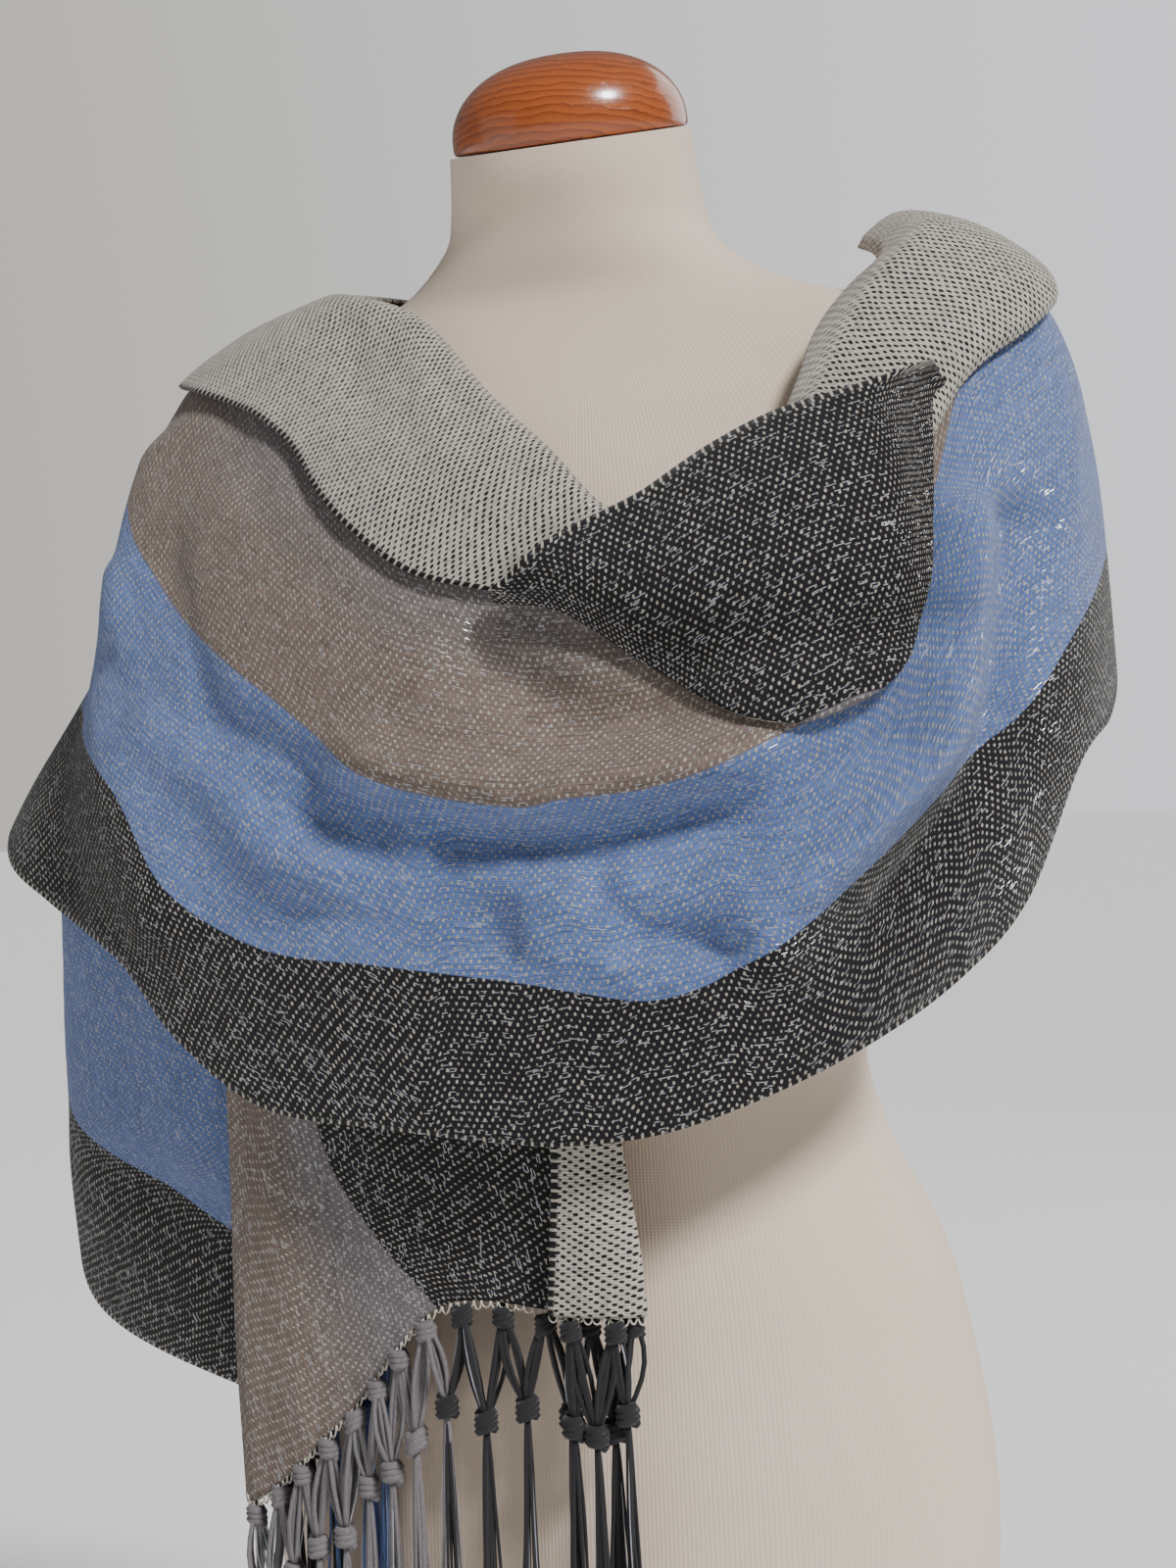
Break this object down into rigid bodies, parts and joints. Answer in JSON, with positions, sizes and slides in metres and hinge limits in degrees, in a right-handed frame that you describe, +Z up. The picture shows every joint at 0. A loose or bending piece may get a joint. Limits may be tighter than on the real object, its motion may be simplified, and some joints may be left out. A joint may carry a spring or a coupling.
{
  "type": "striped woven scarf on a dress form",
  "caption": "Wide striped woven stole with knotted fringes, wound round the shoulders of a limbless dress form on a round foot.",
  "frame": {"origin": "centre of the foot's underside, on the floor", "axes": "+Z up, the dress form faces -Y, its left shoulder as seen from the front is towards -X"},
  "size_m": [0.5495, 0.3258, 0.9844],
  "materials": {
    "woven_cloth": "matt twill in wide black, grey-taupe and blue warp stripes with a white weft and a fine silver thread",
    "fringe_yarn": "matt knotted yarn in black, grey and blue with a fine silver thread",
    "jersey": "fine ribbed cream jersey",
    "cap_wood": "polished orange-brown grain",
    "stand_wood": "satin brown grain"
  },
  "bodies": {
    "root": {"front_wrap": "woven_cloth", "collar_left": "woven_cloth", "band_right": "woven_cloth", "lapel_right": "woven_cloth", "front_end": "woven_cloth", "left_flare": "woven_cloth", "back_drape": "woven_cloth", "back_end": "woven_cloth", "front_fringe": "fringe_yarn", "flare_fringe": "fringe_yarn", "back_fringe": "fringe_yarn", "torso": "jersey", "neck_cap": "cap_wood", "pole": "stand_wood", "foot": "stand_wood"}
  },
  "joints": []
}
